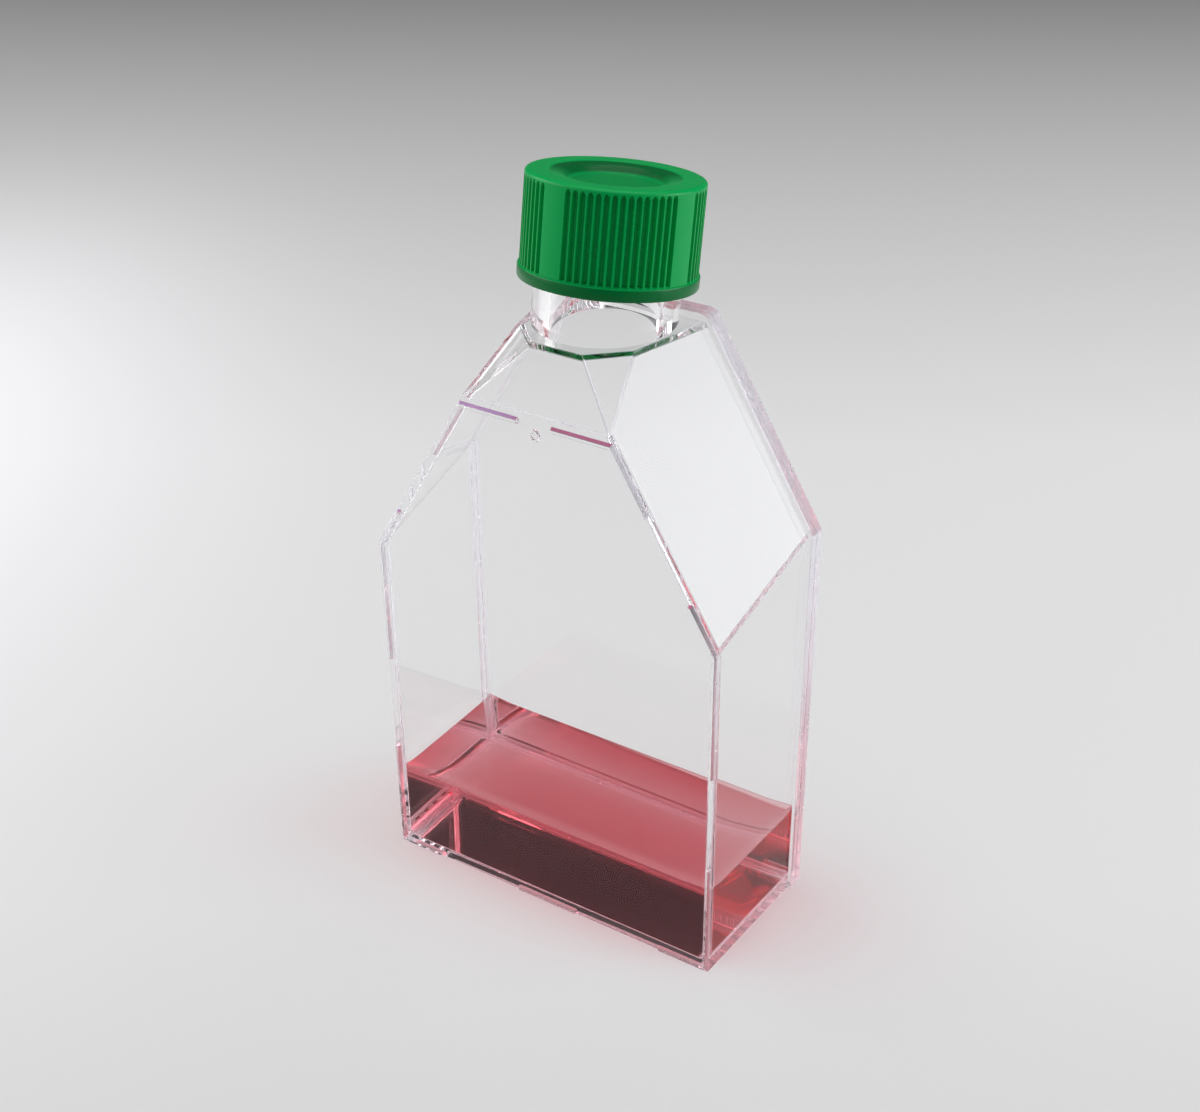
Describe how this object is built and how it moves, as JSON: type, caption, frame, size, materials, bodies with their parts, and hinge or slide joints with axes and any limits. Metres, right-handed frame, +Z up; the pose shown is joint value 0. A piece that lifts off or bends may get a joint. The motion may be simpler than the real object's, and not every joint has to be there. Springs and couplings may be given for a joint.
{
  "type": "cell culture flask",
  "caption": "Clear rectangular culture flask with slanted shoulders, a canted round neck, a ribbed screw cap and liquid medium inside.",
  "frame": {"origin": "middle of the base end that the flask stands on, half-way between the growth side and the outside of the cover plate", "axes": "+Z up along the flask towards the neck, -Y out of the growth side, +Y out of the cover plate, +X to the right seen from the growth side"},
  "size_m": [0.049, 0.0264, 0.0912],
  "materials": {
    "clear_polystyrene": "clear glossy injection-moulded polystyrene",
    "cap_plastic": "satin injection-moulded polyethylene",
    "medium": "clear liquid"
  },
  "bodies": {
    "flask": {"flask_body": "clear_polystyrene", "cover_plate": "clear_polystyrene", "culture_medium": "medium"},
    "screw_cap": {"cap": "cap_plastic"}
  },
  "joints": [
    {"name": "cap_lift", "type": "slide", "parent": "flask", "child": "screw_cap", "axis": [0, 0.1564, 0.9877], "range_m": [0, 0.025]}
  ]
}
